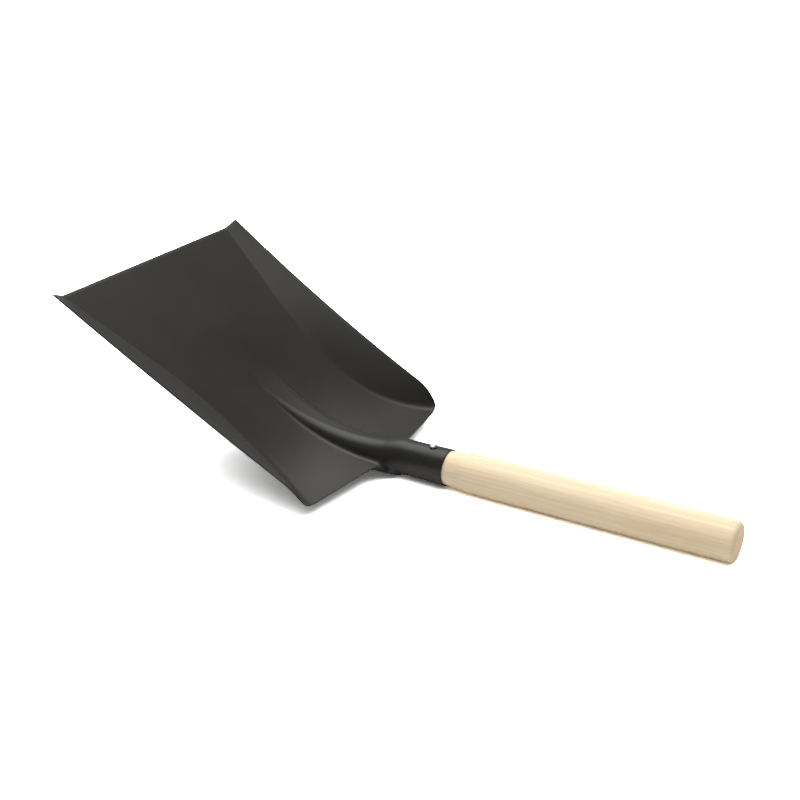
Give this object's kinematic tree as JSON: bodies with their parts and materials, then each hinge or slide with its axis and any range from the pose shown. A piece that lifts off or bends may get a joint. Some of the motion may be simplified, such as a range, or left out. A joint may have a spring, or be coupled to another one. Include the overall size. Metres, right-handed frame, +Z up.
{
  "type": "hand scoop shovel",
  "caption": "Short-handled steel scoop shovel: flat pan with flared side walls, a pressed ridge running into a tubular socket, and a round wooden handle.",
  "frame": {"origin": "middle of the bounding box in plan, on the ground that the handle and the socket lie on", "axes": "+X along the handle towards its free end, +Y to the left across the pan, +Z up; the flat floor of the pan rises towards -X at 35.2 degrees"},
  "size_m": [0.49, 0.2224, 0.1368],
  "materials": {
    "black_steel": "satin black paint, fine texture",
    "pale_wood": "sanded, fine straight grain, thin matt lacquer",
    "zinc_screw": "bright zinc plate"
  },
  "bodies": {
    "root": {"pan": "black_steel", "handle": "pale_wood", "socket_screw": "zinc_screw"}
  },
  "joints": []
}
